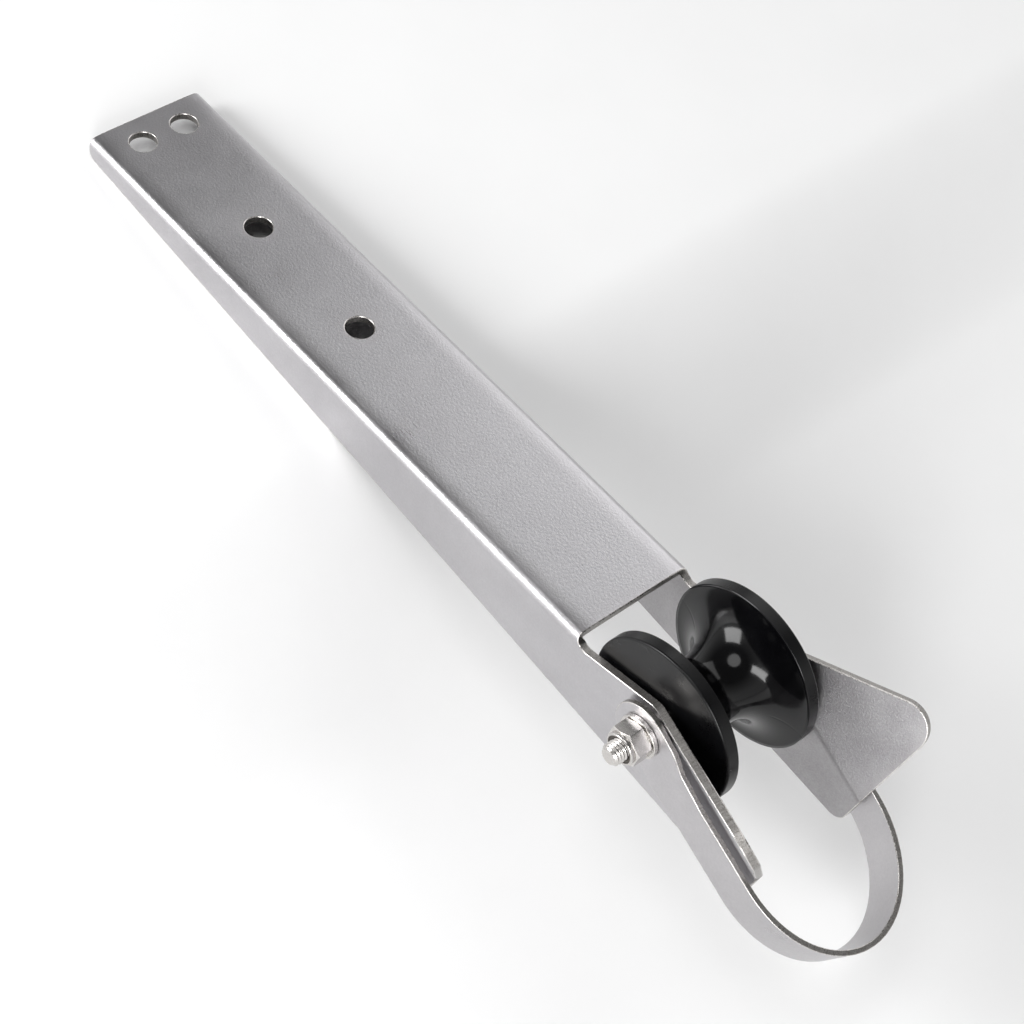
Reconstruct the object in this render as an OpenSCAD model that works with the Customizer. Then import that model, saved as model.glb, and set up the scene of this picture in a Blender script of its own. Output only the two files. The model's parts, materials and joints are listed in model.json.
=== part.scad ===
// Bow roller: a folded steel channel that bolts down by its plate, a grooved roller between the
// channel's two cheeks, and a strap bail that swings on the roller's axle bolt.
// Millimetres. The origin is midway between the two rear bolt holes, on the plate's mounting
// face. +X runs along the channel to the roller, and +Z points out of the mounting face, so the
// side walls reach down from it. The axle lies along Y, with its lock nut on the -Y side.

/* [Channel] */
// Outside width of the channel
channel_w = 50; // [46:0.5:70]
// Length of the plate, from its rear end to the roller's notch
plate_len = 274; // [200:1:400]
// Thickness of the folded sheet
sheet_t = 3; // [2:0.1:4]
// Inside radius of the two long folds
fold_inner_r = 0.6; // [0.3:0.1:2]
// Depth of the side walls at their rear end, below the mounting face
wall_rear_h = 8.8; // [7:0.1:20]
// Angle at which the walls' lower edges run away from the plate, in degrees
wall_fall = 5.33; // [4.5:0.01:7]
// Radius of the walls' lower rear corners
rear_corner_r = 4; // [1:0.5:5]

/* [Bolt holes] */
// Diameter of the bolt holes
bolt_hole_d = 10.5; // [6:0.1:12]
// Distance from the plate's rear end to the rear pair of holes
rear_hole_inset = 12; // [10:0.5:30]
// Spacing of the rear pair, across the plate
rear_hole_gap = 18.5; // [14:0.5:24]
// Distance from the rear pair to the first centre hole
centre_hole_start = 58.5; // [30:0.5:80]
// Spacing of the two centre holes, along the plate
centre_hole_gap = 59; // [30:0.5:80]

/* [Cheeks and ears] */
// Distance of the axle ahead of the plate's front end
axle_ahead = 37.2; // [37:0.1:55]
// Depth of the axle below the mounting face
axle_drop = 7.9; // [5:0.1:14]
// Depth of the notch's rear corners below the long folds
notch_drop = 1.8; // [1:0.1:4]
// Radius in the notch's rear corners
notch_r = 4.4; // [2:0.1:5]
// Angle at which the cheeks' upper edge climbs towards the ears, in degrees
cheek_rise = 13.2; // [8:0.1:16]
// Distance from the axle to the cheeks' front edge, level with the axle
cheek_reach = 59.1; // [50:0.1:75]
// Forward lean of the cheeks' front edge, in degrees
front_lean = 12.2; // [0:0.1:20]
// Radius of the cheeks' lower front corner
front_corner_r = 6; // [2:0.5:10]
// Radius of the ears' outer corner
ear_corner_r = 9.5; // [4:0.5:12]
// Angle of the ears' fold line below level, in degrees
ear_fold_fall = 27.9; // [22:0.1:32]
// Angle by which the ears are folded outwards, in degrees
ear_fold_angle = 28.5; // [15:0.5:45]
// Radius inside the ears' fold, on its hollow side
ear_fold_r = 2; // [1:0.5:4]

/* [Roller] */
// Diameter of the roller's flanges
roller_d = 61; // [50:0.5:62]
// Play between the roller and each cheek
roller_side_play = 1.25; // [0.5:0.05:2.5]
// Width of each flange's rim
flange_rim = 4.7; // [3:0.1:7]
// Radius of the roller at the bottom of its groove
waist_r = 13; // [10:0.5:18]
// Radius on the flanges' outer edges
flange_edge_r = 0.8; // [0.3:0.1:1.5]
// Radial running clearance between the roller and its sleeve
roller_play = 0.08; // [0.03:0.01:0.1]

/* [Axle] */
// Diameter of the axle bolt
bolt_d = 8; // [6:0.5:10]
// Wall of the sleeve that the roller runs on
sleeve_wall = 1.9; // [1:0.1:3]
// Diametral clearance of the holes that the bolt passes through
bolt_hole_play = 0.4; // [0.2:0.1:1]
// Size of the hexagons across their flats
hex_af = 13; // [12:0.5:17]
// Thickness of the bolt's head
head_h = 5.3; // [4:0.1:7]
// Height of the lock nut's hexagon
nut_hex_h = 6.5; // [5:0.1:8]
// Height of the lock nut's round collar
nut_collar_h = 1.5; // [1:0.1:2.5]
// Length of thread that stands out past the lock nut
thread_tail = 4.6; // [2:0.1:10]
// Outside diameter of the washers
washer_d = 16; // [14.5:0.5:20]
// Thickness of the two outer washers
washer_t = 1.6; // [1:0.1:2]
// Thickness of the two spacing washers between cheeks and bail
spacer_t = 2; // [2:0.1:3]

/* [Bail] */
// Width of the strap
strap_w = 17.7; // [14:0.1:20]
// Thickness of the strap
strap_t = 2; // [1.5:0.1:3]
// Radius of the strap's round ends at the axle
eye_r = 11.9; // [11:0.1:12]
// Distance from the axle at which the ends have narrowed to the strap's width
eye_taper = 30; // [24:1:40]
// Distance from the axle at which the arms begin to round over into the loop
arm_len = 58.7; // [55:0.1:75]
// Length of the loop's rounded end, outside
loop_len = 38.2; // [30:0.1:45]
// Outward step of the arms, from the ends at the axle
arm_step = 1.3; // [0.5:0.1:3]
// Free play of the bail between its washers, on each side
bail_side_play = 0.1; // [0.1:0.05:0.5]
// Radial running clearance between the bail and the bolt
bail_play = 0.1; // [0.05:0.01:0.1]
// Angle of the bail below level, in degrees
bail_fall = 26.3; // [25:0.1:35]
// Gap between the strap's upper edge and the ears' fold line
strap_fold_gap = 0.7; // [0.7:0.1:3]

/* [Hidden] */
$fn = 96;
eps = 0.01;
big = 600;
thread_fit = 0.02;
corner_lap = 0.002;

plate_rear_x = -rear_hole_inset;
plate_front_x = plate_rear_x + plate_len;
wall_outer_y = channel_w / 2;
wall_inner_y = wall_outer_y - sheet_t;
fold_r = fold_inner_r + sheet_t;
axle = [plate_front_x + axle_ahead, -axle_drop];

roller_r = roller_d / 2;
roller_half_w = wall_inner_y - roller_side_play;
groove_half_w = roller_half_w - flange_rim;
bolt_r = bolt_d / 2;
sleeve_inner_r = bolt_r + bolt_hole_play / 2;
sleeve_r = sleeve_inner_r + sleeve_wall;

// The stack along the axle, measured outwards from the middle of the channel.
strap_inner_y = wall_outer_y + spacer_t + bail_side_play;
strap_outer_y = strap_inner_y + strap_t;
arm_y = strap_outer_y + arm_step;
loop_steps = 60;
washer_y = strap_outer_y + bail_side_play;
seat_y = washer_y + washer_t;
collar_y = seat_y + nut_hex_h;
nut_end_y = collar_y + nut_collar_h;
collar_r = hex_af / 2 - 0.6;
insert_r = bolt_r + 1.1;
insert_depth = 2.6;
insert_recess = 0.4;
hex_chamfer = 0.7;
tip_chamfer = 1;
nut_turn = -39.7;
head_turn = 12;

// The ears fold about a line that runs parallel to the fold's own fall, just above the strap.
fold_rise = strap_w / 2 + strap_fold_gap;
fold_outer_r = ear_fold_r + sheet_t;
fold_start = fold_rise - fold_outer_r * tan(ear_fold_angle / 2);
fold_length = fold_outer_r * ear_fold_angle * PI / 180;
fold_steps = 6;
fold_lap = 0.3;
fold_inset = 0.02;

function polar(r, a) = [r * cos(a), r * sin(a)];
function cross2(a, b) = a[0] * b[1] - a[1] * b[0];
// The point where the line through p at angle a meets the line through q at angle b.
function meet(p, a, q, b) = p + polar(cross2(q - p, polar(1, b)) / sin(b - a), a);

// Corners of one side wall with its ear, laid out flat, in X and Z.
rear_top = [plate_rear_x, 0];
rear_low = [plate_rear_x, -wall_rear_h];
front_level = [axle[0] + cheek_reach, axle[1]];
notch_corner = [plate_front_x, -fold_r - notch_drop];
notch_end_x = plate_front_x + notch_r;
front_angle = 90 - front_lean;
front_low = meet(rear_low, -wall_fall, front_level, front_angle);
ear_tip = meet(notch_corner, cheek_rise, front_level, front_angle);

// What lies between a corner and the circle of radius r that touches both of its sides, with
// some more beyond the corner. a and b are the directions of the two sides, seen from the corner.
// The circle is a hair larger, so that it crosses the sides instead of only touching them.
module corner_sliver(corner, a, b, r) {
    half = (b - a) / 2;
    centre = corner + polar(r / sin(half), a + half);
    difference() {
        polygon([corner - polar(r / 4, a + half), corner + polar(r / tan(half), a), centre,
                 corner + polar(r / tan(half), b)]);
        translate(centre) circle(r + corner_lap);
    }
}

// One side wall with its ear, laid out flat, with X to the right and Z up.
module flat_side() {
    difference() {
        polygon([rear_top, [plate_front_x, 0], notch_corner, ear_tip, front_low, rear_low]);
        corner_sliver(rear_low, -wall_fall, 90, rear_corner_r);
        corner_sliver(front_low, front_angle, 180 - wall_fall, front_corner_r);
        corner_sliver(ear_tip, 180 + cheek_rise, 180 + front_angle, ear_corner_r);
    }
    corner_sliver(notch_corner, cheek_rise, 90, notch_r);
}

// The same, turned so that the start of the ear's fold lies along X.
module flat_side_at_fold() {
    translate([0, -fold_start]) rotate(ear_fold_fall) translate(-axle) flat_side();
}

// The part of the flat side from a height above the start of the fold, as a plate whose inner
// face lies in XZ and whose thickness runs along +Y.
module side_above(height) {
    rotate([90, 0, 0]) translate([0, 0, -sheet_t]) linear_extrude(sheet_t) intersection() {
        flat_side_at_fold();
        translate([-big, height]) square(2 * big);
    }
}

// From the fold's own directions back to the channel's, on the +Y side.
module from_fold() {
    translate([axle[0], wall_inner_y, axle[1]]) rotate([0, ear_fold_fall, 0])
        translate([0, 0, fold_start]) children();
}

// Where the flat side's edge through p at angle a crosses the line at a height above the start
// of the fold, measured along the fold from the axle.
function along_fold(p, a, height) =
    (meet(axle + polar(fold_start + height, 90 - ear_fold_fall), -ear_fold_fall, p, a) - axle)
    * polar(1, -ear_fold_fall);

// The four corners of the sheet across the fold where it has turned by the angle a, moved on by
// lap along the sheet. They lie a hair inside the sheet, so that no two faces meet edge on.
function fold_slice(a, lap) = let (
    height = fold_outer_r * a * PI / 180 + lap,
    rear = along_fold(notch_corner, cheek_rise, height) + fold_inset,
    front = along_fold(front_level, front_angle, height) - fold_inset,
    convex_r = fold_outer_r - fold_inset,
    convex = [fold_outer_r, 0] - polar(convex_r, -a) + polar(lap, 90 - a),
    hollow = convex + polar(sheet_t - 2 * fold_inset, -a)
) [[rear, convex[0], convex[1]], [front, convex[0], convex[1]],
   [front, hollow[0], hollow[1]], [rear, hollow[0], hollow[1]]];

// The curved strip between the cheek and the flat of the ear, lapping a little into both.
module ear_fold() {
    slices = concat([fold_slice(0, -fold_lap)],
                    [for (k = [0 : fold_steps]) fold_slice(ear_fold_angle * k / fold_steps, 0)],
                    [fold_slice(ear_fold_angle, fold_lap)]);
    last = 4 * (len(slices) - 1);
    polyhedron(
        points = [for (slice = slices) for (corner = slice) corner],
        faces = concat([[0, 1, 2], [0, 2, 3], [last, last + 2, last + 1], [last, last + 3, last + 2]],
            [for (k = [0 : len(slices) - 2]) for (c = [0 : 3])
                let (a = 4 * k + c, b = 4 * k + (c + 1) % 4)
                for (triangle = [[a, a + 4, b + 4], [a, b + 4, b]]) triangle]));
}

// The ear: its fold, then its flat.
module ear() {
    from_fold() {
        ear_fold();
        translate([0, fold_outer_r * (1 - cos(ear_fold_angle)), fold_outer_r * sin(ear_fold_angle)])
            rotate([-ear_fold_angle, 0, 0]) translate([0, 0, -fold_length])
                side_above(fold_length);
    }
}

// Rectangle with its two upper corners rounded, hanging from y = top.
module hanging_section(w, top, r, h) {
    difference() {
        translate([-w / 2, top - h]) square([w, h]);
        for (side = [0, 1]) mirror([side, 0])
            corner_sliver([w / 2, top], 180, 270, r);
    }
}

// The channel's cross-section, with Y to the right and Z up.
module channel_section() {
    difference() {
        hanging_section(channel_w, 0, fold_r, big);
        hanging_section(2 * wall_inner_y, -sheet_t, fold_inner_r, big);
    }
}

// What the side view leaves of the walls: everything below the start of the ears' fold.
module side_below_fold() {
    difference() {
        flat_side();
        translate(axle) rotate(-ear_fold_fall) translate([-axle_ahead - eps, fold_start])
            square([big, big]);
    }
}

// The folded channel, up to the end of the notch's rear corners.
module channel() {
    difference() {
        intersection() {
            rotate([90, 0, 90]) translate([0, 0, plate_rear_x])
                linear_extrude(notch_end_x - plate_rear_x) channel_section();
            rotate([90, 0, 0]) linear_extrude(big, center = true) side_below_fold();
        }
        translate([plate_front_x, fold_r - wall_outer_y, -big / 2])
            cube([big, channel_w - 2 * fold_r, big]);
    }
}

// The cheek on the +Y side, ahead of the channel.
module cheek() {
    translate([0, wall_outer_y, 0]) rotate([90, 0, 0]) linear_extrude(sheet_t) intersection() {
        side_below_fold();
        translate([notch_end_x - eps, -big / 2]) square(big);
    }
}

module bolt_holes() {
    for (side = [-1, 1]) translate([0, side * rear_hole_gap / 2, 0])
        cylinder(d = bolt_hole_d, h = big, center = true);
    for (k = [0, 1]) translate([centre_hole_start + k * centre_hole_gap, 0, 0])
        cylinder(d = bolt_hole_d, h = big, center = true);
}

// Places its children on the axle: their +Z runs outwards along -Y, from the channel's middle.
module on_axle() {
    translate([axle[0], 0, axle[1]]) rotate([90, 0, 0]) children();
}

// Does the same on both sides of the channel.
module on_both_ends() {
    on_axle() for (side = [0, 1]) mirror([0, 0, side]) children();
}

module bracket() {
    color("silver") difference() {
        union() {
            channel();
            for (side = [0, 1]) mirror([0, side, 0]) {
                cheek();
                ear();
            }
        }
        bolt_holes();
        on_axle() cylinder(r = sleeve_inner_r, h = channel_w + 2, center = true);
    }
}

// Radius of the groove at a distance y from the roller's middle: a quarter of an ellipse.
function groove_r(y) = roller_r - (roller_r - waist_r) * sqrt(max(0, 1 - pow(y / groove_half_w, 2)));

module roller() {
    groove_steps = 36;
    groove = [for (k = [0 : groove_steps])
        let (y = -groove_half_w * cos(180 * k / groove_steps)) [groove_r(y), y]];
    bore_r = sleeve_r + roller_play;
    color("#1a1a1c") on_axle() rotate_extrude() difference() {
        polygon(concat([[bore_r, -roller_half_w], [roller_r, -roller_half_w]], groove,
                       [[roller_r, roller_half_w], [bore_r, roller_half_w]]));
        for (side = [0, 1]) mirror([0, side])
            corner_sliver([roller_r, roller_half_w], 180, 270, flange_edge_r);
    }
}

module roller_sleeve() {
    color("lightgray") on_axle() difference() {
        cylinder(r = sleeve_r, h = 2 * wall_inner_y, center = true);
        cylinder(r = sleeve_inner_r, h = channel_w, center = true);
    }
}

// A hexagonal prism of height h, its corners chamfered at the top, and at the bottom if both.
module chamfered_hex(h, both) {
    corner_r = hex_af / sqrt(3);
    drop = hex_chamfer;
    intersection() {
        cylinder(r = corner_r, h = h, $fn = 6);
        rotate_extrude() polygon([
            [0, 0],
            [both ? hex_af / 2 : corner_r + 1, 0],
            [corner_r + 1, both ? drop * (corner_r + 1 - hex_af / 2) : 0],
            [corner_r + 1, h - drop * (corner_r + 1 - hex_af / 2)],
            [hex_af / 2, h],
            [0, h],
        ]);
    }
}

module axle_bolt() {
    tip = nut_end_y + thread_tail;
    color("gainsboro") on_axle() {
        rotate_extrude() polygon([
            [0, -seat_y - eps], [bolt_r, -seat_y - eps], [bolt_r, tip - tip_chamfer],
            [bolt_r - tip_chamfer, tip], [0, tip],
        ]);
        mirror([0, 0, 1]) translate([0, 0, seat_y]) rotate(head_turn) chamfered_hex(head_h, false);
    }
}

module lock_nut() {
    color("gainsboro") on_axle() difference() {
        union() {
            translate([0, 0, seat_y]) rotate(nut_turn) chamfered_hex(nut_hex_h, true);
            translate([0, 0, collar_y - eps]) rotate_extrude() difference() {
                square([collar_r, nut_collar_h + eps]);
                corner_sliver([collar_r, nut_collar_h + eps], 180, 270, nut_collar_h / 2);
            }
        }
        translate([0, 0, seat_y - 1]) cylinder(r = bolt_r + thread_fit, h = big);
        translate([0, 0, nut_end_y - insert_depth]) cylinder(r = insert_r, h = big);
    }
}

module nut_insert() {
    color("#55504a") on_axle() translate([0, 0, nut_end_y - insert_depth]) difference() {
        cylinder(r = insert_r - thread_fit, h = insert_depth - insert_recess);
        translate([0, 0, -1]) cylinder(r = bolt_r + thread_fit, h = big);
    }
}

module washer(t) {
    difference() {
        cylinder(d = washer_d, h = t);
        translate([0, 0, -1]) cylinder(r = sleeve_inner_r, h = t + 2);
    }
}

module nut_washer() {
    color("lightgray") on_axle() translate([0, 0, washer_y]) washer(washer_t);
}

module head_washer() {
    color("lightgray") on_axle() mirror([0, 0, 1]) translate([0, 0, washer_y]) washer(washer_t);
}

module bail_spacers() {
    color("lightgray") on_both_ends() translate([0, 0, wall_outer_y]) washer(spacer_t);
}

// One face of the strap seen in plan, from its end on one side (1 or -1) to its end on the
// other, inset from the strap's outer face.
function strap_arm(inset, side) = [
    [-eye_r - 1, side * (strap_outer_y - inset)],
    [washer_d / 2 + 1, side * (strap_outer_y - inset)],
    [washer_d + 2, side * (arm_y - inset)],
];
function strap_loop(inset, side) = [for (k = [0 : loop_steps])
    let (a = 90 - 180 * k / loop_steps)
    [arm_len + (loop_len - inset) * cos(a), side * (arm_y - inset) * sin(a)]];
function strap_face(inset, side) = let (back = strap_arm(inset, -side))
    concat(strap_arm(inset, side), strap_loop(inset, side), [back[2], back[1], back[0]]);

// The strap in side view: round ends that narrow to the width of the strap.
module strap_side() {
    neck = [eye_taper, strap_w / 2];
    neck_angle = atan2(neck[1], neck[0]) + acos(eye_r / norm(neck)) - 90;
    back = meet(neck, neck_angle, [-eye_r, 0], 90);
    difference() {
        polygon([[back[0], -back[1]], back, neck, [big, neck[1]],
                 [big, -neck[1]], [neck[0], -neck[1]]]);
        for (side = [0, 1]) mirror([0, side])
            corner_sliver(back, -90, neck_angle, eye_r);
    }
}

module bail() {
    color("silver") translate([axle[0], 0, axle[1]]) rotate([0, bail_fall, 0]) difference() {
        intersection() {
            linear_extrude(4 * eye_r, center = true)
                polygon(concat(strap_face(0, 1), strap_face(strap_t, -1)));
            rotate([90, 0, 0]) linear_extrude(big, center = true) strap_side();
        }
        rotate([90, 0, 0]) cylinder(r = bolt_r + bail_play, h = big, center = true);
    }
}

bracket();
roller();
roller_sleeve();
axle_bolt();
lock_nut();
nut_insert();
nut_washer();
head_washer();
bail_spacers();
bail();
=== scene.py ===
"""Bow roller: the looks around the CAD part, in metres, with lengths worked out in millimetres."""

import json
import math

import bmesh
import bpy
import numpy as np
from mathutils import Matrix, Vector
from mathutils.geometry import delaunay_2d_cdt


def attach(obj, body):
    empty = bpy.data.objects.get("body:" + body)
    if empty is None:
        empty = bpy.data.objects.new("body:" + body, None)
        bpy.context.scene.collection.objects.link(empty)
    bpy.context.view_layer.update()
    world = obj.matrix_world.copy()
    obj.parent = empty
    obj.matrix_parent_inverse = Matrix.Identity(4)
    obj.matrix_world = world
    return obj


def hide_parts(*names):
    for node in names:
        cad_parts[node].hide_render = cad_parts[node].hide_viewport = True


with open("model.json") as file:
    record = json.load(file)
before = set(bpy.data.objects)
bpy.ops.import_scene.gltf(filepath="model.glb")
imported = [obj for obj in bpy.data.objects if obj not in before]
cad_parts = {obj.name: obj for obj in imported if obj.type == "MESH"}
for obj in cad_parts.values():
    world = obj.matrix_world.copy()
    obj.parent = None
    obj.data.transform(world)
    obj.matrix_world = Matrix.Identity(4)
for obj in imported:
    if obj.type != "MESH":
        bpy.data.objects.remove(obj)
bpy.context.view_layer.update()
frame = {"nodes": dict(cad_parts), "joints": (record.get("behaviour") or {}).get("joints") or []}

MM = 0.001

# Sizes of the part in millimetres and degrees, as in its CAD source where that has them.
PLATE_REAR_X = -12.0
PLATE_FRONT_X = 262.0
WALL_OUTER_Y = 25.0
SHEET_T = 3.0
FOLD_R = 3.6
WALL_REAR_H = 8.8
WALL_FALL = 5.33
REAR_CORNER_R = 4.0
BOLT_HOLE_R = 5.25
REAR_HOLE_Y = 9.25
CENTRE_HOLES_X = (58.5, 117.5)
NOTCH_DROP = 1.8
NOTCH_R = 4.2
CHEEK_RISE = 13.2
CHEEK_REACH = 59.1
FRONT_LEAN = 12.2
FRONT_CORNER_R = 6.0
EAR_CORNER_R = 9.5
EAR_FOLD_FALL = 27.9
EAR_FOLD_ANGLE = 28.5
EAR_FOLD_R = 5.0
ROLLER_R = 30.5
ROLLER_HALF_W = 20.75
FLANGE_RIM = 4.7
WAIST_R = 13.0
ROLLER_BORE_R = 6.18
BORE_EDGE_R = 0.4
RIM_EDGE_R = 0.8
BOLT_R = 4.0
AXLE_HOLE_R = 4.2
HEX_AF = 13.0
HEAD_H = 5.3
NUT_HEX_H = 6.5
NUT_COLLAR_H = 1.5
THREAD_TAIL = 4.6
THREAD_PITCH = 1.25
THREAD_DEPTH = 0.62
THREAD_TIP_R = 2.9
COLLAR_INSET = 0.6
INSERT_WALL = 1.08
INSERT_H = 2.2
INSERT_SINK = 0.4
WASHER_R = 8.0
WASHER_T = 1.6
SPACER_T = 2.0
STRAP_W = 17.7
STRAP_T = 2.0
EYE_R = 11.9
EYE_TAPER = 30.0
EYE_HOLE_R = 4.1
ARM_LEN = 58.7
LOOP_LEN = 38.2
ARM_STEP = 1.3
BAIL_FALL = 26.3
STRAP_FOLD_GAP = 0.7
SIDE_PLAY = 0.1
SHEET_EDGE_R = 0.4
STRAP_EDGE_R = 0.3
HEX_EDGE_R = 0.12
PARTING_LINES = (172.0, 352.0)
PARTING_DEPTH = 0.12
PARTING_WIDTH = 0.5
PARTING_FROM_R = 19.0
NUT_TURN = -39.7
HEAD_TURN = 12.0

# The floor, and where it falls away ahead of the fitting's middle.
FLOOR_HALF = 2000.0
FLOOR_GAP = 0.2
FLOOR_DROP = 45.0
DROP_FROM_X = 132.0
DROP_TO_X = 212.0

# How finely round pieces and the edges of sheets are cut, and how near counts as the same place.
ROUND_STEPS = 96
ROLLER_STEPS = 180
EDGE_RINGS = 4
SAME = 1e-4

# The order of a sheet's materials.
OUTER, EDGE, WALL, INNER = range(4)

CAMERA_PLACE = (0.52688, -0.39226, 0.60929)
CAMERA_AZIMUTH = 39.50
CAMERA_ELEVATION = 50.84
CAMERA_ROLL = 12.51
CAMERA_LENS = 82.69

AXLE = Vector(frame["joints"][0]["pos_m"]) / MM
WALL_INNER_Y = WALL_OUTER_Y - SHEET_T
STRAP_OUTER_Y = WALL_OUTER_Y + SPACER_T + SIDE_PLAY + STRAP_T
WASHER_Y = STRAP_OUTER_Y + SIDE_PLAY
SEAT_Y = WASHER_Y + WASHER_T
COLLAR_Y = SEAT_Y + NUT_HEX_H
NUT_END_Y = COLLAR_Y + NUT_COLLAR_H
TIP_Y = NUT_END_Y + THREAD_TAIL


# ---------------------------------------------------------------- flat outlines

def polar(r, degrees):
    a = math.radians(degrees)
    return Vector((r * math.cos(a), r * math.sin(a)))


def meet(p, a, q, b):
    """Where the line through p at angle a meets the line through q at angle b."""
    da, db = polar(1, a), polar(1, b)
    return p + da * ((q - p).cross(db) / da.cross(db))


def rounded(corners, closed=True, step=6.0):
    """The path through corners, which are (x, y, radius), with each corner rounded to its radius."""
    path = []
    n = len(corners)
    for i, (x, y, r) in enumerate(corners):
        p = Vector((x, y))
        if r == 0 or not closed and i in (0, n - 1):
            path.append(p)
            continue
        a = (Vector(corners[i - 1][:2]) - p).normalized()
        b = (Vector(corners[(i + 1) % n][:2]) - p).normalized()
        half = a.angle(b) / 2
        centre = p + (a + b).normalized() * (r / math.sin(half))
        start = p + a * (r / math.tan(half)) - centre
        sweep = math.pi - 2 * half
        if a.cross(b) > 0:
            sweep = -sweep
        steps = max(2, math.ceil(math.degrees(abs(sweep)) / step))
        for k in range(steps + 1):
            t = sweep * k / steps
            path.append(centre + Vector((start.x * math.cos(t) - start.y * math.sin(t),
                                         start.x * math.sin(t) + start.y * math.cos(t))))
    return path


def circle_path(centre, r, n=64):
    return [Vector(centre) + polar(r, 360 * k / n) for k in range(n)]


def area(loop):
    return sum(a.cross(b) for a, b in zip(loop, loop[1:] + loop[:1])) / 2


def shifted(loop, d):
    """The closed loop moved to its left by d."""
    out = []
    n = len(loop)
    for i, p in enumerate(loop):
        a = (p - loop[i - 1]).normalized()
        b = (loop[(i + 1) % n] - p).normalized()
        left_a, left_b = Vector((-a.y, a.x)), Vector((-b.y, b.x))
        mid = (left_a + left_b).normalized()
        out.append(p + mid * (d / mid.dot(left_a)))
    return out


# ---------------------------------------------------------------- meshes

def make_object(name, verts, faces, materials, face_slots=None):
    mesh = bpy.data.meshes.new(name)
    mesh.from_pydata([tuple(Vector(v) * MM) for v in verts], [], faces)
    for m in materials:
        mesh.materials.append(m)
    if face_slots is not None:
        mesh.polygons.foreach_set("material_index", face_slots)
    mesh.shade_smooth()
    mesh.validate()
    obj = bpy.data.objects.new(name, mesh)
    bpy.context.scene.collection.objects.link(obj)
    return obj


def inside(points, loop):
    """Which of the points lie inside the closed loop."""
    x, y = points[:, 0][:, None], points[:, 1][:, None]
    a = np.array([tuple(p) for p in loop])
    b = np.roll(a, -1, axis=0)
    spans = (a[:, 1] > y) != (b[:, 1] > y)
    rise = np.where(b[:, 1] == a[:, 1], 1, b[:, 1] - a[:, 1])
    crossing = a[:, 0] + (y - a[:, 1]) * (b[:, 0] - a[:, 0]) / rise
    return (spans & (x < crossing)).sum(1) % 2 == 1


def to_border(points, loops):
    """Distance from each point to the loops, and the direction in which the border faces there."""
    a = np.array([tuple(p) for loop in loops for p in loop])
    b = np.array([tuple(p) for loop in loops for p in loop[1:] + loop[:1]])
    d = b - a
    length = np.linalg.norm(d, axis=1)
    t = ((points[:, None] - a) * d).sum(2) / length ** 2
    foot = a + np.clip(t, 0, 1)[..., None] * d
    dist = np.linalg.norm(points[:, None] - foot, axis=2)
    nearest = dist.min(1)
    right = np.stack([d[:, 1], -d[:, 0]], 1) / length[:, None]
    near = dist < nearest[:, None] + SAME
    facing = (near[..., None] * right).sum(1)
    return nearest, facing / np.linalg.norm(facing, axis=1)[:, None]


def sheet(name, outline, holes, creases, place, thick, edge_r, materials):
    """A cut and folded sheet with rounded edges. outline and holes are loops in the flat, creases
    are segments that the mesh has to follow, and place(u, v, depth) gives the folded place of a
    point at a depth below the outer face. The materials are for its outer face, its rounded edges,
    its cut walls and its inner face, in this order."""
    loops = [outline if area(outline) > 0 else outline[::-1]]
    loops += [h if area(h) < 0 else h[::-1] for h in holes]
    points, edges = [], []
    for loop in loops:
        for k in range(EDGE_RINGS + 1):
            start = len(points)
            points += shifted(loop, edge_r * (1 - math.cos(math.pi / 2 * k / EDGE_RINGS)))
            edges += [(start + i, start + (i + 1) % len(loop)) for i in range(len(loop))]
    for a, b in creases:
        edges.append((len(points), len(points) + 1))
        points += [Vector(a), Vector(b)]
    flat, _, triangles, *_ = delaunay_2d_cdt(points, edges, [], 0, SAME)
    flat = np.array([tuple(p) for p in flat])
    triangles = np.array(triangles)
    middles = flat[triangles].mean(1)
    keep = inside(middles, loops[0])
    for hole in loops[1:]:
        keep &= ~inside(middles, hole)
    triangles = triangles[keep]
    used = sorted(set(triangles.ravel()))
    number = {old: new for new, old in enumerate(used)}
    triangles = [[number[i] for i in t] for t in triangles]
    flat = flat[used]
    nearest, facing = to_border(flat, loops)

    half, nudge = len(flat), 0.01
    top, low, normals_top, normals_low = [], [], [], []
    for (u, v), dist, (fu, fv) in zip(flat, nearest, facing):
        turn = min(1, max(0, (edge_r - dist) / edge_r))
        depth = edge_r * (1 - math.sqrt(1 - turn * turn))
        outer, inner = place(u, v, depth), place(u, v, thick - depth)
        up = (outer - inner).normalized()
        back = place(u - nudge * fu, v - nudge * fv, thick / 2)
        out = (place(u, v, thick / 2) - back).normalized()
        flatness = math.sqrt(1 - turn * turn)
        top.append(outer)
        low.append(inner)
        normals_top.append(up * flatness + out * turn)
        normals_low.append(out * turn - up * flatness)
    verts = top + low
    normals = normals_top + normals_low

    def facing_out(face):
        a, b, c = (verts[i] for i in face[:3])
        aim = sum((normals[i] for i in face), Vector((0, 0, 0)))
        return face if (b - a).cross(c - a).dot(aim) > 0 else face[::-1]

    faces, slots, sides = [], [], {}
    for t in triangles:
        rim = min(nearest[i] for i in t) < edge_r - 1e-3
        for face, slot in ((t, OUTER), ([i + half for i in t], INNER)):
            faces.append(facing_out(face))
            slots.append(EDGE if rim else slot)
        for a, b in zip(t, t[1:] + t[:1]):
            sides.setdefault(frozenset((a, b)), []).append((a, b))
    for uses in sides.values():
        if len(uses) == 1:
            a, b = uses[0]
            faces.append(facing_out([a, b, b + half, a + half]))
            slots.append(WALL)
    obj = make_object(name, verts, faces, materials, slots)
    uv = obj.data.uv_layers.new(name="flat")
    for loop in obj.data.loops:
        u, v = flat[loop.vertex_index % half]
        uv.data[loop.index].uv = (u * MM, v * MM)
    obj.data.normals_split_custom_set_from_vertices([tuple(n.normalized()) for n in normals])
    return obj


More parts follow.
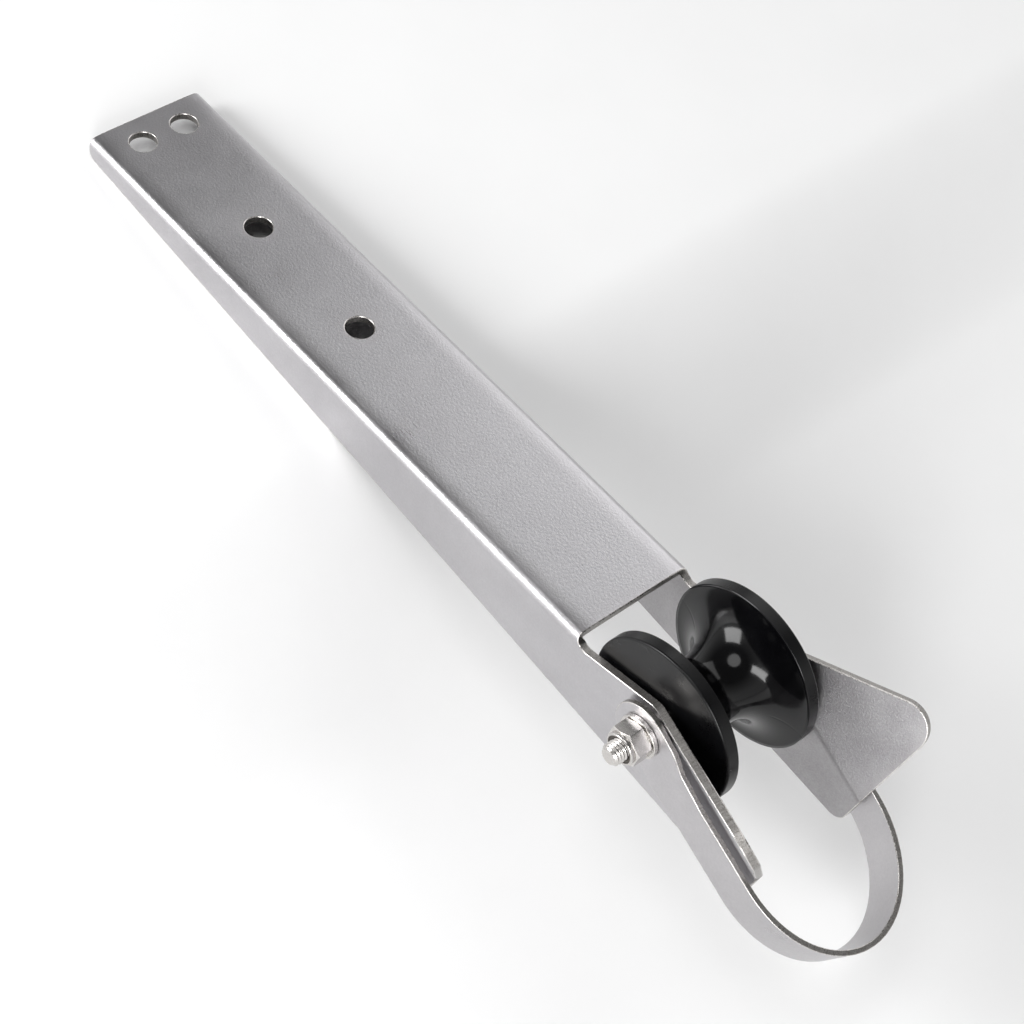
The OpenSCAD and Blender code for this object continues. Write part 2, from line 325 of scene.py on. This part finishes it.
def on_axle(r, y, degrees):
    """The point at radius r and place y along the axle, at an angle about it."""
    a = math.radians(degrees)
    return Vector((AXLE.x + r * math.cos(a), y, AXLE.z + r * math.sin(a)))


def supported(path, longer_than=0.2, reach=0.05):
    """Adds points close to both ends of each longer stretch of a closed path, to keep it flat."""
    out = []
    for i, p in enumerate(path):
        q = path[(i + 1) % len(path)]
        out.append(p)
        if (q - p).length > longer_than:
            d = (q - p).normalized() * reach
            out += [p + d, q - d]
    return out


def evenly(steps):
    """Angles all the way round, in degrees."""
    return [360 * k / steps for k in range(steps)]


def lathe(name, profile, materials, angles, slot_of=None, bulge=None):
    """Turns a closed profile of (radius, y) about the axle. bulge(degrees, radius) adds to the
    radius, and slot_of(radius, y) chooses the material."""
    verts, faces, slots = [], [], []
    n = len(profile)
    for a in angles:
        for r, y in profile:
            verts.append(on_axle(r + (bulge(a, r) if bulge else 0), y, a))
    for k in range(len(angles)):
        for i in range(n):
            j = (i + 1) % n
            m = (k + 1) % len(angles)
            faces.append([k * n + i, k * n + j, m * n + j, m * n + i])
            if slot_of:
                slots.append(slot_of((profile[i][0] + profile[j][0]) / 2,
                                     (profile[i][1] + profile[j][1]) / 2))
    obj = make_object(name, verts, faces, materials, slots or None)
    outward(obj)
    return obj


def outward(obj):
    """Turns the faces of a closed mesh outwards."""
    bm = bmesh.new()
    bm.from_mesh(obj.data)
    bmesh.ops.recalc_face_normals(bm, faces=bm.faces)
    bm.to_mesh(obj.data)
    bm.free()


def washer(name, y0, y1, material):
    bore, edge = AXLE_HOLE_R, 0.25
    corners = [(bore, y0, edge), (WASHER_R, y0, edge), (WASHER_R, y1, edge), (bore, y1, edge)]
    return lathe(name, supported(rounded(corners, step=18)), [material], evenly(ROUND_STEPS))


def stack(name, rings, materials):
    """A skin over rings of equally many points, closed at both ends."""
    n = len(rings[0])
    verts = [p for ring in rings for p in ring]
    faces = [[k * n + i, k * n + (i + 1) % n, (k + 1) * n + (i + 1) % n, (k + 1) * n + i]
             for k in range(len(rings) - 1) for i in range(n)]
    faces.append(list(range(n)))
    faces.append([(len(rings) - 1) * n + i for i in range(n)])
    obj = make_object(name, verts, faces, materials)
    outward(obj)
    return obj


# ---------------------------------------------------------------- materials

PLASTIC_IOR = 1.37


class Nodes:
    """Short calls for building one material's nodes."""

    def __init__(self, name, colour, metallic, rough):
        self.material = bpy.data.materials.new(name)
        self.material.use_nodes = True
        self.tree = self.material.node_tree
        self.shader = self.tree.nodes["Principled BSDF"]
        self.shader.inputs["Base Color"].default_value = (*colour, 1)
        self.shader.inputs["Metallic"].default_value = metallic
        self.shader.inputs["Roughness"].default_value = rough
        self.place = self.add("ShaderNodeTexCoord").outputs["Object"]

    def add(self, kind, **settings):
        node = self.tree.nodes.new(kind)
        for key, value in settings.items():
            setattr(node, key, value)
        return node

    def link(self, a, b):
        self.tree.links.new(a, b)

    def noise(self, size_mm, detail=2.0, rough=0.55, place=None, stretch=None):
        """Noise whose features are about size_mm across, wider along the axes in stretch."""
        source = place or self.place
        if stretch:
            mapping = self.add("ShaderNodeMapping")
            mapping.inputs["Scale"].default_value = stretch
            self.link(source, mapping.inputs["Vector"])
            source = mapping.outputs["Vector"]
        node = self.add("ShaderNodeTexNoise")
        node.inputs["Scale"].default_value = 1 / (size_mm * MM)
        node.inputs["Detail"].default_value = detail
        node.inputs["Roughness"].default_value = rough
        self.link(source, node.inputs["Vector"])
        return node.outputs["Fac"]

    def ramp(self, value, low, high, from_low=0.3, from_high=0.7):
        """Maps a value from one range to another."""
        node = self.add("ShaderNodeMapRange")
        for key, number in zip(("From Min", "From Max", "To Min", "To Max"),
                               (from_low, from_high, low, high)):
            node.inputs[key].default_value = number
        self.link(value, node.inputs["Value"])
        return node.outputs["Result"]

    def sum(self, *values):
        total = values[0]
        for value in values[1:]:
            node = self.add("ShaderNodeMath", operation="ADD")
            self.link(total, node.inputs[0])
            self.link(value, node.inputs[1])
            total = node.outputs[0]
        return total

    def times(self, a, b):
        node = self.add("ShaderNodeMath", operation="MULTIPLY")
        self.link(a, node.inputs[0])
        if isinstance(b, (int, float)):
            node.inputs[1].default_value = b
        else:
            self.link(b, node.inputs[1])
        return node.outputs[0]

    def tint(self, value, dark, light, from_low=0.3, from_high=0.7):
        """Colours the surface between two colours by a value."""
        node = self.add("ShaderNodeMix", data_type="RGBA")
        node.inputs["A"].default_value = (*dark, 1)
        node.inputs["B"].default_value = (*light, 1)
        self.link(self.ramp(value, 0, 1, from_low, from_high), node.inputs["Factor"])
        self.link(node.outputs["Result"], self.shader.inputs["Base Color"])

    def rough(self, value, low, high, from_low=0.3, from_high=0.7):
        self.link(self.ramp(value, low, high, from_low, from_high),
                  self.shader.inputs["Roughness"])

    def bump(self, height, depth_mm):
        """Adds relief of a depth in millimetres to what is there already."""
        node = self.add("ShaderNodeBump")
        node.inputs["Strength"].default_value = 1.0
        node.inputs["Distance"].default_value = depth_mm * MM
        self.link(height, node.inputs["Height"])
        normal = self.shader.inputs["Normal"]
        if normal.is_linked:
            self.link(normal.links[0].from_socket, node.inputs["Normal"])
        self.link(node.outputs["Normal"], normal)


def satin_steel(name, dark, light, rough, grain_mm, grain_depth):
    """Grained satin stainless sheet, with faint clouds and streaks of uneven gloss."""
    m = Nodes(name, light, 1.0, rough)
    grain = m.noise(grain_mm, detail=4, rough=0.7)
    clouds = m.noise(35, detail=3, rough=0.6)
    marks = m.noise(2.2, detail=4, rough=0.75, stretch=(0.12, 1, 1))
    m.tint(m.sum(m.times(clouds, 0.6), m.times(grain, 0.4)), dark, light)
    m.rough(m.sum(m.times(clouds, 0.7), m.times(marks, 0.3)), rough - 0.05, rough + 0.06)
    m.bump(grain, grain_depth)
    m.bump(m.noise(14, detail=1), 0.012)
    return m.material


def burnished_steel(name, dark, light, rough):
    """Steel of the sheet's rounded edges, brighter from handling and tumbling."""
    m = Nodes(name, light, 1.0, rough)
    wear = m.noise(1.6, detail=4, rough=0.7)
    m.tint(wear, dark, light)
    m.rough(wear, rough - 0.06, rough + 0.12)
    m.bump(m.noise(0.5, detail=2), 0.02)
    return m.material


def cut_steel(name, dark, light, rough):
    """Steel of the sheet's cut walls, with fine shear marks across the thickness."""
    m = Nodes(name, light, 1.0, rough)
    uv = m.add("ShaderNodeUVMap", uv_map="flat").outputs["UV"]
    marks = m.noise(0.55, detail=3, rough=0.7, place=uv)
    grain = m.noise(0.35, detail=2)
    m.tint(m.sum(m.times(marks, 0.4), m.times(grain, 0.6)), dark, light)
    m.rough(marks, rough - 0.08, rough + 0.12)
    m.bump(marks, 0.1)
    m.bump(grain, 0.06)
    return m.material


def bright_steel(name, rough):
    """Machined and tumbled stainless steel of bolts, nuts and washers."""
    m = Nodes(name, (0.7, 0.68, 0.65), 1.0, rough)
    wear = m.noise(1.1, detail=4, rough=0.7)
    turning = m.noise(0.25, detail=1, stretch=(0.15, 1, 0.15))
    m.tint(wear, (0.54, 0.52, 0.5), (0.66, 0.64, 0.62))
    m.rough(wear, rough - 0.03, rough + 0.08)
    m.bump(turning, 0.0012)
    m.bump(m.noise(3, detail=2), 0.004)
    return m.material


def moulded_plastic(name, rough, grain_depth):
    """Black moulded plastic with an uneven sheen and fine scuffs."""
    m = Nodes(name, (0.002, 0.002, 0.0025), 0.0, rough)
    m.shader.inputs["IOR"].default_value = PLASTIC_IOR
    sheen = m.noise(9, detail=3, rough=0.6)
    scuffs = m.noise(0.7, detail=5, rough=0.8, stretch=(1, 0.2, 1))
    m.tint(m.sum(m.times(sheen, 0.5), m.times(scuffs, 0.5)), (0.001, 0.001, 0.0012),
           (0.003, 0.003, 0.0036))
    m.rough(m.sum(m.times(scuffs, 0.5), m.times(sheen, 0.5)), rough - 0.04, rough + 0.08)
    m.bump(m.noise(0.6, detail=2), grain_depth)
    m.bump(m.noise(12, detail=1), 0.006)
    return m.material


def nylon(name):
    """Dull dark nylon with fine flecks."""
    m = Nodes(name, (0.07, 0.06, 0.05), 0.0, 0.5)
    fleck = m.noise(0.8, detail=4, rough=0.7)
    m.tint(fleck, (0.035, 0.03, 0.026), (0.1, 0.085, 0.07))
    m.rough(fleck, 0.4, 0.6)
    m.bump(fleck, 0.05)
    return m.material


sheet_steel = satin_steel("bracket_satin", dark=(0.44, 0.43, 0.445), light=(0.56, 0.55, 0.565),
                          rough=0.31, grain_mm=0.9, grain_depth=0.11)
# A darker copy of the satin steel for the bracket's inner face: painted shade that stands in for the
# dim inside of the channel.
shaded_inner_steel = satin_steel("bracket_inner_painted_shade", dark=(0.24, 0.232, 0.238), light=(0.46, 0.45, 0.46),
                          rough=0.36, grain_mm=0.6, grain_depth=0.12)
strap_steel = satin_steel("bail_satin", dark=(0.43, 0.418, 0.43), light=(0.56, 0.548, 0.56),
                          rough=0.3, grain_mm=0.9, grain_depth=0.09)
edge_steel = burnished_steel("edge_burnished", (0.5, 0.48, 0.46), (0.74, 0.72, 0.7), 0.24)
wall_steel = cut_steel("edge_cut", (0.14, 0.13, 0.122), (0.56, 0.54, 0.52), 0.36)
bolt_steel = bright_steel("fastener_bright", 0.2)
washer_steel = bright_steel("washer_bright", 0.24)
sleeve_steel = bright_steel("sleeve_bright", 0.3)
groove_black = moulded_plastic("roller_gloss", 0.1, 0.0006)
rim_black = moulded_plastic("roller_satin", 0.28, 0.008)
insert_dark = nylon("insert_nylon")


# ---------------------------------------------------------------- bracket

PLATE_HALF = WALL_OUTER_Y - FOLD_R
FOLD_LENGTH = FOLD_R * math.pi / 2
WALL_START = PLATE_HALF + FOLD_LENGTH
# The press leaves a slight crown beside each long fold: the plate eases by a few degrees before
# the fold itself, which is then a little tighter.
EASE_LEN = 7.0
EASE_ANGLE = math.radians(6)
EASE_DROP = EASE_ANGLE * EASE_LEN / 3
TIGHT_R = (FOLD_R - EASE_DROP) / math.cos(EASE_ANGLE)
EASE_END = WALL_OUTER_Y - TIGHT_R * (1 - math.sin(EASE_ANGLE))
EASE_START = EASE_END - EASE_LEN
FRONT_ANGLE = 90 - FRONT_LEAN
EAR_RISE = STRAP_W / 2 + STRAP_FOLD_GAP
EAR_START = EAR_RISE - EAR_FOLD_R * math.tan(math.radians(EAR_FOLD_ANGLE / 2))
EAR_FOLD_LENGTH = EAR_FOLD_R * math.radians(EAR_FOLD_ANGLE)
axle_xz = Vector((AXLE.x, AXLE.z))
notch_corner = Vector((PLATE_FRONT_X, -FOLD_R - NOTCH_DROP))
NOTCH_CLEAR_X = notch_corner.x + NOTCH_DROP / math.tan(math.radians(CHEEK_RISE))
fold_along, fold_up = polar(1, -EAR_FOLD_FALL), polar(1, 90 - EAR_FOLD_FALL)


def unfolded(p):
    """From the side view, in X and Z, to the flat sheet, in X and the distance from its middle."""
    if p.x < NOTCH_CLEAR_X and p.y > -FOLD_R:
        return Vector((p.x, PLATE_HALF + FOLD_R * math.acos(min(1, 1 + p.y / FOLD_R))))
    return Vector((p.x, WALL_START - FOLD_R - p.y))


def place_bracket(x, s, depth):
    """The folded place of the point at x and s on the flat sheet, at a depth below its outer face.
    s is the distance from the sheet's middle line."""
    side, s = (1, s) if s >= 0 else (-1, -s)
    if x < NOTCH_CLEAR_X and s < WALL_START:
        t = min(1, max(0, s - EASE_START) / EASE_LEN)
        turned = max(0, s - EASE_END) / (WALL_START - EASE_END)
        a = EASE_ANGLE * t * t + (math.pi / 2 - EASE_ANGLE) * turned
        y, z = min(s, EASE_END), -EASE_DROP * t ** 3
        if turned > 0:
            y += TIGHT_R * (math.sin(a) - math.sin(EASE_ANGLE))
            z -= TIGHT_R * (math.cos(EASE_ANGLE) - math.cos(a))
        return Vector((x, side * (y - depth * math.sin(a)), z - depth * math.cos(a)))
    p = Vector((x, WALL_START - FOLD_R - s)) - axle_xz
    along, up = p.dot(fold_along), p.dot(fold_up)
    bent = min(max(0, up - EAR_START), EAR_FOLD_LENGTH) / EAR_FOLD_R
    beyond = max(0, up - EAR_START - EAR_FOLD_LENGTH)
    level = SHEET_T - depth
    y = (WALL_INNER_Y + EAR_FOLD_R * (1 - math.cos(bent)) + beyond * math.sin(bent)
         + level * math.cos(bent))
    if bent > 0:
        up = (EAR_START + EAR_FOLD_R * math.sin(bent) + beyond * math.cos(bent)
              - level * math.sin(bent))
    p = axle_xz + fold_along * along + fold_up * up
    return Vector((p.x, side * y, p.y))


def make_bracket():
    rear_low = Vector((PLATE_REAR_X, -WALL_REAR_H))
    front_level = axle_xz + Vector((CHEEK_REACH, 0))
    front_low = meet(rear_low, -WALL_FALL, front_level, FRONT_ANGLE)
    ear_tip = meet(notch_corner, CHEEK_RISE, front_level, FRONT_ANGLE)
    half = [unfolded(p) for p in rounded([
        (PLATE_REAR_X, 0, 0), (*rear_low, REAR_CORNER_R), (*front_low, FRONT_CORNER_R),
        (*ear_tip, EAR_CORNER_R), (*notch_corner, NOTCH_R), (PLATE_FRONT_X, 0, 0)],
        closed=False, step=4)]
    outline = half + [Vector((p.x, -p.y)) for p in reversed(half)]

    axle_flat = unfolded(axle_xz)
    holes = [circle_path((0, side * REAR_HOLE_Y), BOLT_HOLE_R) for side in (-1, 1)]
    holes += [circle_path((x, 0), BOLT_HOLE_R) for x in CENTRE_HOLES_X]
    holes += [circle_path((axle_flat.x, side * axle_flat.y), AXLE_HOLE_R)
              for side in (-1, 1)]

    creases = []
    ease_steps, bend_steps, ear_steps, reach, ear_reach = 6, 12, 8, 8, 1.5
    bend = [EASE_START + EASE_LEN * k / ease_steps for k in range(ease_steps)]
    bend += [EASE_END + (WALL_START - EASE_END) * k / bend_steps for k in range(bend_steps + 1)]
    for side in (-1, 1):
        for s in bend:
            creases.append(((PLATE_REAR_X - reach, side * s), (NOTCH_CLEAR_X, side * s)))
        for k in range(ear_steps + 1):
            up = EAR_START + EAR_FOLD_LENGTH * k / ear_steps
            ends = []
            for edge in ((notch_corner, CHEEK_RISE), (front_level, FRONT_ANGLE)):
                ends.append(meet(axle_xz + fold_up * up, -EAR_FOLD_FALL, *edge))
            a, b = ends
            grow = (b - a).normalized() * ear_reach
            creases.append(tuple((p.x, side * (WALL_START - FOLD_R - p.y))
                                 for p in (a - grow, b + grow)))
    # The inner face takes the darker steel, which is painted shade.
    return sheet("bracket_sheet", outline, holes, creases, place_bracket, SHEET_T, SHEET_EDGE_R,
                 [sheet_steel, edge_steel, wall_steel, shaded_inner_steel])


# ---------------------------------------------------------------- bail

def strap_path():
    """The outer face of the strap seen in plan, from one end to the other."""
    path = [Vector((-EYE_R - 1, STRAP_OUTER_Y))]
    step_from, step_to, steps, loop_steps = WASHER_R + 1, 2 * WASHER_R + 2, 12, 90
    for k in range(steps + 1):
        t = k / steps
        path.append(Vector((step_from + (step_to - step_from) * t,
                            STRAP_OUTER_Y + ARM_STEP * t * t * (3 - 2 * t))))
    arm_y = STRAP_OUTER_Y + ARM_STEP
    for k in range(loop_steps // 2 + 1):
        a = math.radians(90 - 180 * k / loop_steps)
        path.append(Vector((ARM_LEN + LOOP_LEN * math.cos(a), arm_y * math.sin(a))))
    return path + [Vector((p.x, -p.y)) for p in reversed(path[:-1])]


strap = np.array([tuple(p) for p in strap_path()])
strap_steps = np.linalg.norm(np.diff(strap, axis=0), axis=1)
strap_at = np.concatenate([[0], np.cumsum(strap_steps)])
strap_slope = np.gradient(strap, strap_at, axis=0)
strap_slope /= np.linalg.norm(strap_slope, axis=1)[:, None]
bail_turn = Matrix.Rotation(math.radians(BAIL_FALL), 3, "Y")


def place_bail(q, w, depth):
    """The bent place of the point q along the strap and w across it, at a depth below its outer
    face."""
    x, y, tx, ty = (np.interp(q, strap_at, column) for column in (*strap.T, *strap_slope.T))
    return AXLE + bail_turn @ Vector((x + depth * ty, y - depth * tx, w))


def make_bail():
    arm_half = len(strap_at) // 2
    length = strap_at[-1]

    def along(x):
        return float(np.interp(x, strap[:arm_half, 0], strap_at[:arm_half]))

    eye_steps, neck_r, neck_len = 72, 30, 20
    neck = Vector((EYE_TAPER, STRAP_W / 2))
    touch = math.degrees(math.atan2(neck.y, neck.x) + math.acos(EYE_R / neck.length))
    eye = [polar(EYE_R, touch + (360 - 2 * touch) * k / eye_steps) for k in range(eye_steps + 1)]
    tail = rounded([(0, eye[-1].y, 0), (neck.x, -neck.y, neck_r),
                    (neck.x + neck_len, -neck.y, 0)], closed=False, step=1)[1:-1]
    end = [Vector((p.x, -p.y)) for p in reversed(tail)] + eye + tail
    near = [Vector((along(p.x), p.y)) for p in end]
    outline = near + [Vector((length - p.x, -p.y)) for p in near]
    hole = circle_path((along(0), 0), EYE_HOLE_R)
    holes = [hole, [Vector((length - p.x, p.y)) for p in hole]]
    creases = [((q, -EYE_R - 2), (q, EYE_R + 2)) for q in strap_at[1:-1]]
    return sheet("bail_strap", outline, holes, creases, place_bail, STRAP_T, STRAP_EDGE_R,
                 [strap_steel, edge_steel, wall_steel, strap_steel])


# ---------------------------------------------------------------- roller

def make_roller():
    half_w, groove_half = ROLLER_HALF_W, ROLLER_HALF_W - FLANGE_RIM
    steps = 48
    groove = []
    for k in range(steps + 1):
        y = -groove_half * math.cos(math.pi * k / steps)
        r = ROLLER_R - (ROLLER_R - WAIST_R) * math.sqrt(max(0, 1 - (y / groove_half) ** 2))
        groove.append(Vector((r, y)))
    lip = rounded([(ROLLER_BORE_R, -half_w, 0), (ROLLER_R, -half_w, RIM_EDGE_R),
                   (ROLLER_R, -groove_half, 0)], closed=False, step=10)[1:-1]
    bore = rounded([(ROLLER_R, -half_w, 0), (ROLLER_BORE_R, -half_w, BORE_EDGE_R),
                    (ROLLER_BORE_R, 0, 0)], closed=False, step=15)[1:-1]
    near = bore[::-1] + lip
    profile = near + groove + [Vector((r, -y)) for r, y in reversed(near)]

    def slot_of(r, y):
        return 0 if abs(y) < groove_half and r < ROLLER_R - 0.05 else 1

    def parting(a, r):
        """The fine line where the mould's halves meet, on the flanges and worn off the waist."""
        off = min(abs((a - line + 180) % 360 - 180) for line in PARTING_LINES)
        return -PARTING_DEPTH * max(0, 1 - off / PARTING_WIDTH) if r > PARTING_FROM_R else 0

    fine = [(line + d) % 360 for line in PARTING_LINES for d in (-PARTING_WIDTH, 0, PARTING_WIDTH)]
    angles = sorted({*evenly(ROLLER_STEPS), *fine})
    return lathe("roller_body", supported(profile, longer_than=1.5), [groove_black, rim_black],
                 angles, slot_of=slot_of, bulge=parting)


# ---------------------------------------------------------------- fasteners

def hex_rings(side, base, height, turn, both):
    """Rings of a hexagon with rounded corners and chamfers, from base outwards on one side."""
    corner = HEX_AF / math.sqrt(3)
    shape = rounded([(*polar(corner, 60 * k + turn), 0.35) for k in range(6)], step=12)
    fine = []
    for i, p in enumerate(shape):
        q = shape[(i + 1) % len(shape)]
        cuts = 10 if (q - p).length > 1 else 1
        fine += [p.lerp(q, t / cuts) for t in range(cuts)]
    flat_r, slope = HEX_AF / 2 - 0.15, math.tan(math.radians(30))
    place = [(p.length, math.degrees(math.atan2(p.y, p.x))) for p in fine]

    def ring(radius, level):
        return [on_axle(radius(r), side * (base + level(r)), a) for r, a in place]

    def drop(r):
        return slope * max(0, r - flat_r)

    rings = []
    if both:
        rings += [ring(lambda r: flat_r, lambda r: 0), ring(lambda r: r, drop)]
    else:
        rings += [ring(lambda r: r, lambda r: 0)]
    rings += [ring(lambda r: r, lambda r: height - drop(r)),
              ring(lambda r: flat_r, lambda r: height)]
    return rings


def bevel(obj):
    modifier = obj.modifiers.new("edges", "BEVEL")
    modifier.width = HEX_EDGE_R * MM
    modifier.segments = 2
    modifier.limit_method = "ANGLE"
    modifier.angle_limit = math.radians(20)
    modifier.harden_normals = True


def make_nut():
    hexagon = stack("nut_hex", hex_rings(-1, SEAT_Y, NUT_HEX_H, NUT_TURN, True), [bolt_steel])
    bevel(hexagon)
    outer, inner, foot_y = HEX_AF / 2 - COLLAR_INSET, BOLT_R + INSERT_WALL + 0.02, -COLLAR_Y + 1
    corners = [(inner + 0.05, foot_y, 0), (outer, foot_y, 0), (outer, -NUT_END_Y, 0.7),
               (inner, -NUT_END_Y, 0.3)]
    collar = lathe("nut_collar", supported(rounded(corners, step=12)), [bolt_steel],
                   evenly(ROUND_STEPS))
    return hexagon, collar


def make_insert():
    y0 = -NUT_END_Y + INSERT_SINK
    y1, inner, outer, edge, lead = y0 + INSERT_H, BOLT_R + 0.02, BOLT_R + INSERT_WALL, 0.1, 0.35
    corners = [(inner, y1, edge), (outer, y1, edge), (outer, y0, edge), (inner, y0, lead)]
    return lathe("insert_ring", supported(rounded(corners, step=20)), [insert_dark],
                 evenly(ROUND_STEPS))


def make_bolt():
    """The bolt's head on the far side, and its shank with a thread and a slightly dished tip."""
    head = stack("bolt_head", hex_rings(1, SEAT_Y, HEAD_H, HEAD_TURN, False), [bolt_steel])
    bevel(head)
    columns, row_step, run_out, thread_from = 72, 0.1, 0.8, SEAT_Y + 1
    rows = [-SEAT_Y, thread_from - 0.2]
    rows += [thread_from + row_step * k for k in range(int((TIP_Y - thread_from) / row_step) + 1)]
    rows.append(TIP_Y)
    rings = []
    for y in rows:
        ring = []
        for c in range(columns):
            phase = (y / THREAD_PITCH - c / columns) % 1
            groove = min(1, max(0, 1.25 - 2.5 * abs(phase - 0.5)))
            groove *= min(1, max(0, (y - thread_from) / run_out))
            r = min(BOLT_R - THREAD_DEPTH * groove, THREAD_TIP_R + max(0, TIP_Y - 0.12 - y))
            ring.append(on_axle(r, -y, 360 * c / columns))
        rings.append(ring)
    for r, y in ((2.6, TIP_Y), (1.4, TIP_Y - 0.05), (0.5, TIP_Y - 0.06)):
        rings.append([on_axle(r, -y, a) for a in evenly(columns)])
    shank = stack("bolt_shank", rings, [bolt_steel])
    return head, shank


# ---------------------------------------------------------------- the pieces on their bodies

def stands_for(piece, body, node):
    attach(piece, body)
    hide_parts(node)


stands_for(make_bracket(), "frame", "bracket")
stands_for(make_bail(), "bail", "bail")
stands_for(make_roller(), "roller", "roller")
for piece in make_nut():
    stands_for(piece, "frame", "lock_nut")
for piece in make_bolt():
    stands_for(piece, "frame", "axle_bolt")
stands_for(make_insert(), "frame", "nut_insert")
stands_for(washer("nut_side_washer", -WASHER_Y - WASHER_T, -WASHER_Y, washer_steel),
           "frame", "nut_washer")
stands_for(washer("head_side_washer", WASHER_Y, WASHER_Y + WASHER_T, washer_steel),
           "frame", "head_washer")
for label, side in (("near_spacer", -1), ("far_spacer", 1)):
    y0, y1 = sorted((side * WALL_OUTER_Y, side * (WALL_OUTER_Y + SPACER_T)))
    stands_for(washer(label, y0, y1, washer_steel), "frame", "bail_spacers")

sleeve = frame["nodes"]["roller_sleeve"]
for slot in sleeve.material_slots:
    slot.material = sleeve_steel


# ---------------------------------------------------------------- floor, light and camera

def make_floor():
    """A pale floor that the side walls lie on. Ahead of the fitting's middle it falls away in a
    smooth curve, which leaves room for the bail at both ends of its swing."""
    m = Nodes("floor_pale", (0.94, 0.94, 0.94), 0.0, 0.6)
    m.tint(m.noise(60, detail=3), (0.93, 0.93, 0.93), (0.95, 0.95, 0.95))
    steps = 80
    curve = [DROP_FROM_X + (DROP_TO_X - DROP_FROM_X) * k / steps for k in range(steps + 1)]
    verts = []
    for x in [-FLOOR_HALF, *curve, FLOOR_HALF]:
        t = min(1, max(0, (x - DROP_FROM_X) / (DROP_TO_X - DROP_FROM_X)))
        z = -WALL_REAR_H - FLOOR_GAP - (x - PLATE_REAR_X) * math.tan(math.radians(WALL_FALL))
        z -= FLOOR_DROP * t * t * (3 - 2 * t)
        verts += [(x, -FLOOR_HALF, z), (x, FLOOR_HALF, z)]
    faces = [(k, k + 2, k + 3, k + 1) for k in range(0, len(verts) - 2, 2)]
    make_object("floor", verts, faces, [m.material])


def soft_light(name, azimuth, elevation, distance, width, tall, radiance, shape):
    """A soft light seen from the part's middle in a direction, as azimuth and elevation."""
    data = bpy.data.lights.new(name, "AREA")
    data.shape = shape
    data.size, data.size_y = width, tall
    lit = width * tall * (math.pi / 4 if shape == "ELLIPSE" else 1)
    data.energy = radiance * math.pi * lit
    a, e = math.radians(azimuth), math.radians(elevation)
    back = Vector((math.sin(a) * math.cos(e), -math.cos(a) * math.cos(e), math.sin(e)))
    light = bpy.data.objects.new(name, data)
    light.location = Vector((0.2, 0, 0)) + back * distance
    light.rotation_euler = back.to_track_quat("Z", "Y").to_euler()
    bpy.context.scene.collection.objects.link(light)


def make_lights():
    """Four soft lights, and a world that is bright near the horizon and dim overhead."""
    for name, azimuth, elevation, distance, width, tall, radiance, shape in (
            ("key_behind", 195, 42, 1.2, 1.12, 0.62, 1.62, "RECTANGLE"),
            ("box_left", -36, 24, 1.2, 0.6, 0.6, 9.5, "RECTANGLE"),
            ("box_right", 41, 18, 1.2, 0.3, 0.7, 11.5, "RECTANGLE"),
            ("round_top", 8, 72, 1.3, 0.7, 0.7, 3.4, "ELLIPSE")):
        soft_light(name, azimuth, elevation, distance, width, tall, radiance, shape)
    world = bpy.data.worlds.new("studio")
    bpy.context.scene.world = world
    world.use_nodes = True
    tree = world.node_tree
    glow = tree.nodes["Background"]
    split = tree.nodes.new("ShaderNodeSeparateXYZ")
    tree.links.new(tree.nodes.new("ShaderNodeTexCoord").outputs["Generated"], split.inputs[0])
    fade = tree.nodes.new("ShaderNodeMapRange")
    for key, value in (("From Min", 0.2), ("From Max", 0.7), ("To Min", 0.8), ("To Max", 0.14)):
        fade.inputs[key].default_value = value
    tree.links.new(split.outputs["Z"], fade.inputs["Value"])
    tree.links.new(fade.outputs["Result"], glow.inputs["Strength"])
    glow.inputs["Color"].default_value = (1, 1, 1, 1)


def make_camera():
    data = bpy.data.cameras.new("camera")
    data.lens = CAMERA_LENS
    data.sensor_width = 36
    data.clip_end = 50
    camera = bpy.data.objects.new("camera", data)
    camera.matrix_world = (Matrix.Translation(CAMERA_PLACE)
                           @ Matrix.Rotation(math.radians(CAMERA_AZIMUTH), 4, "Z")
                           @ Matrix.Rotation(math.radians(90 - CAMERA_ELEVATION), 4, "X")
                           @ Matrix.Rotation(math.radians(CAMERA_ROLL), 4, "Z"))
    bpy.context.scene.collection.objects.link(camera)
    bpy.context.scene.camera = camera


make_floor()
make_lights()
make_camera()
bpy.context.scene.view_settings.view_transform = "Standard"
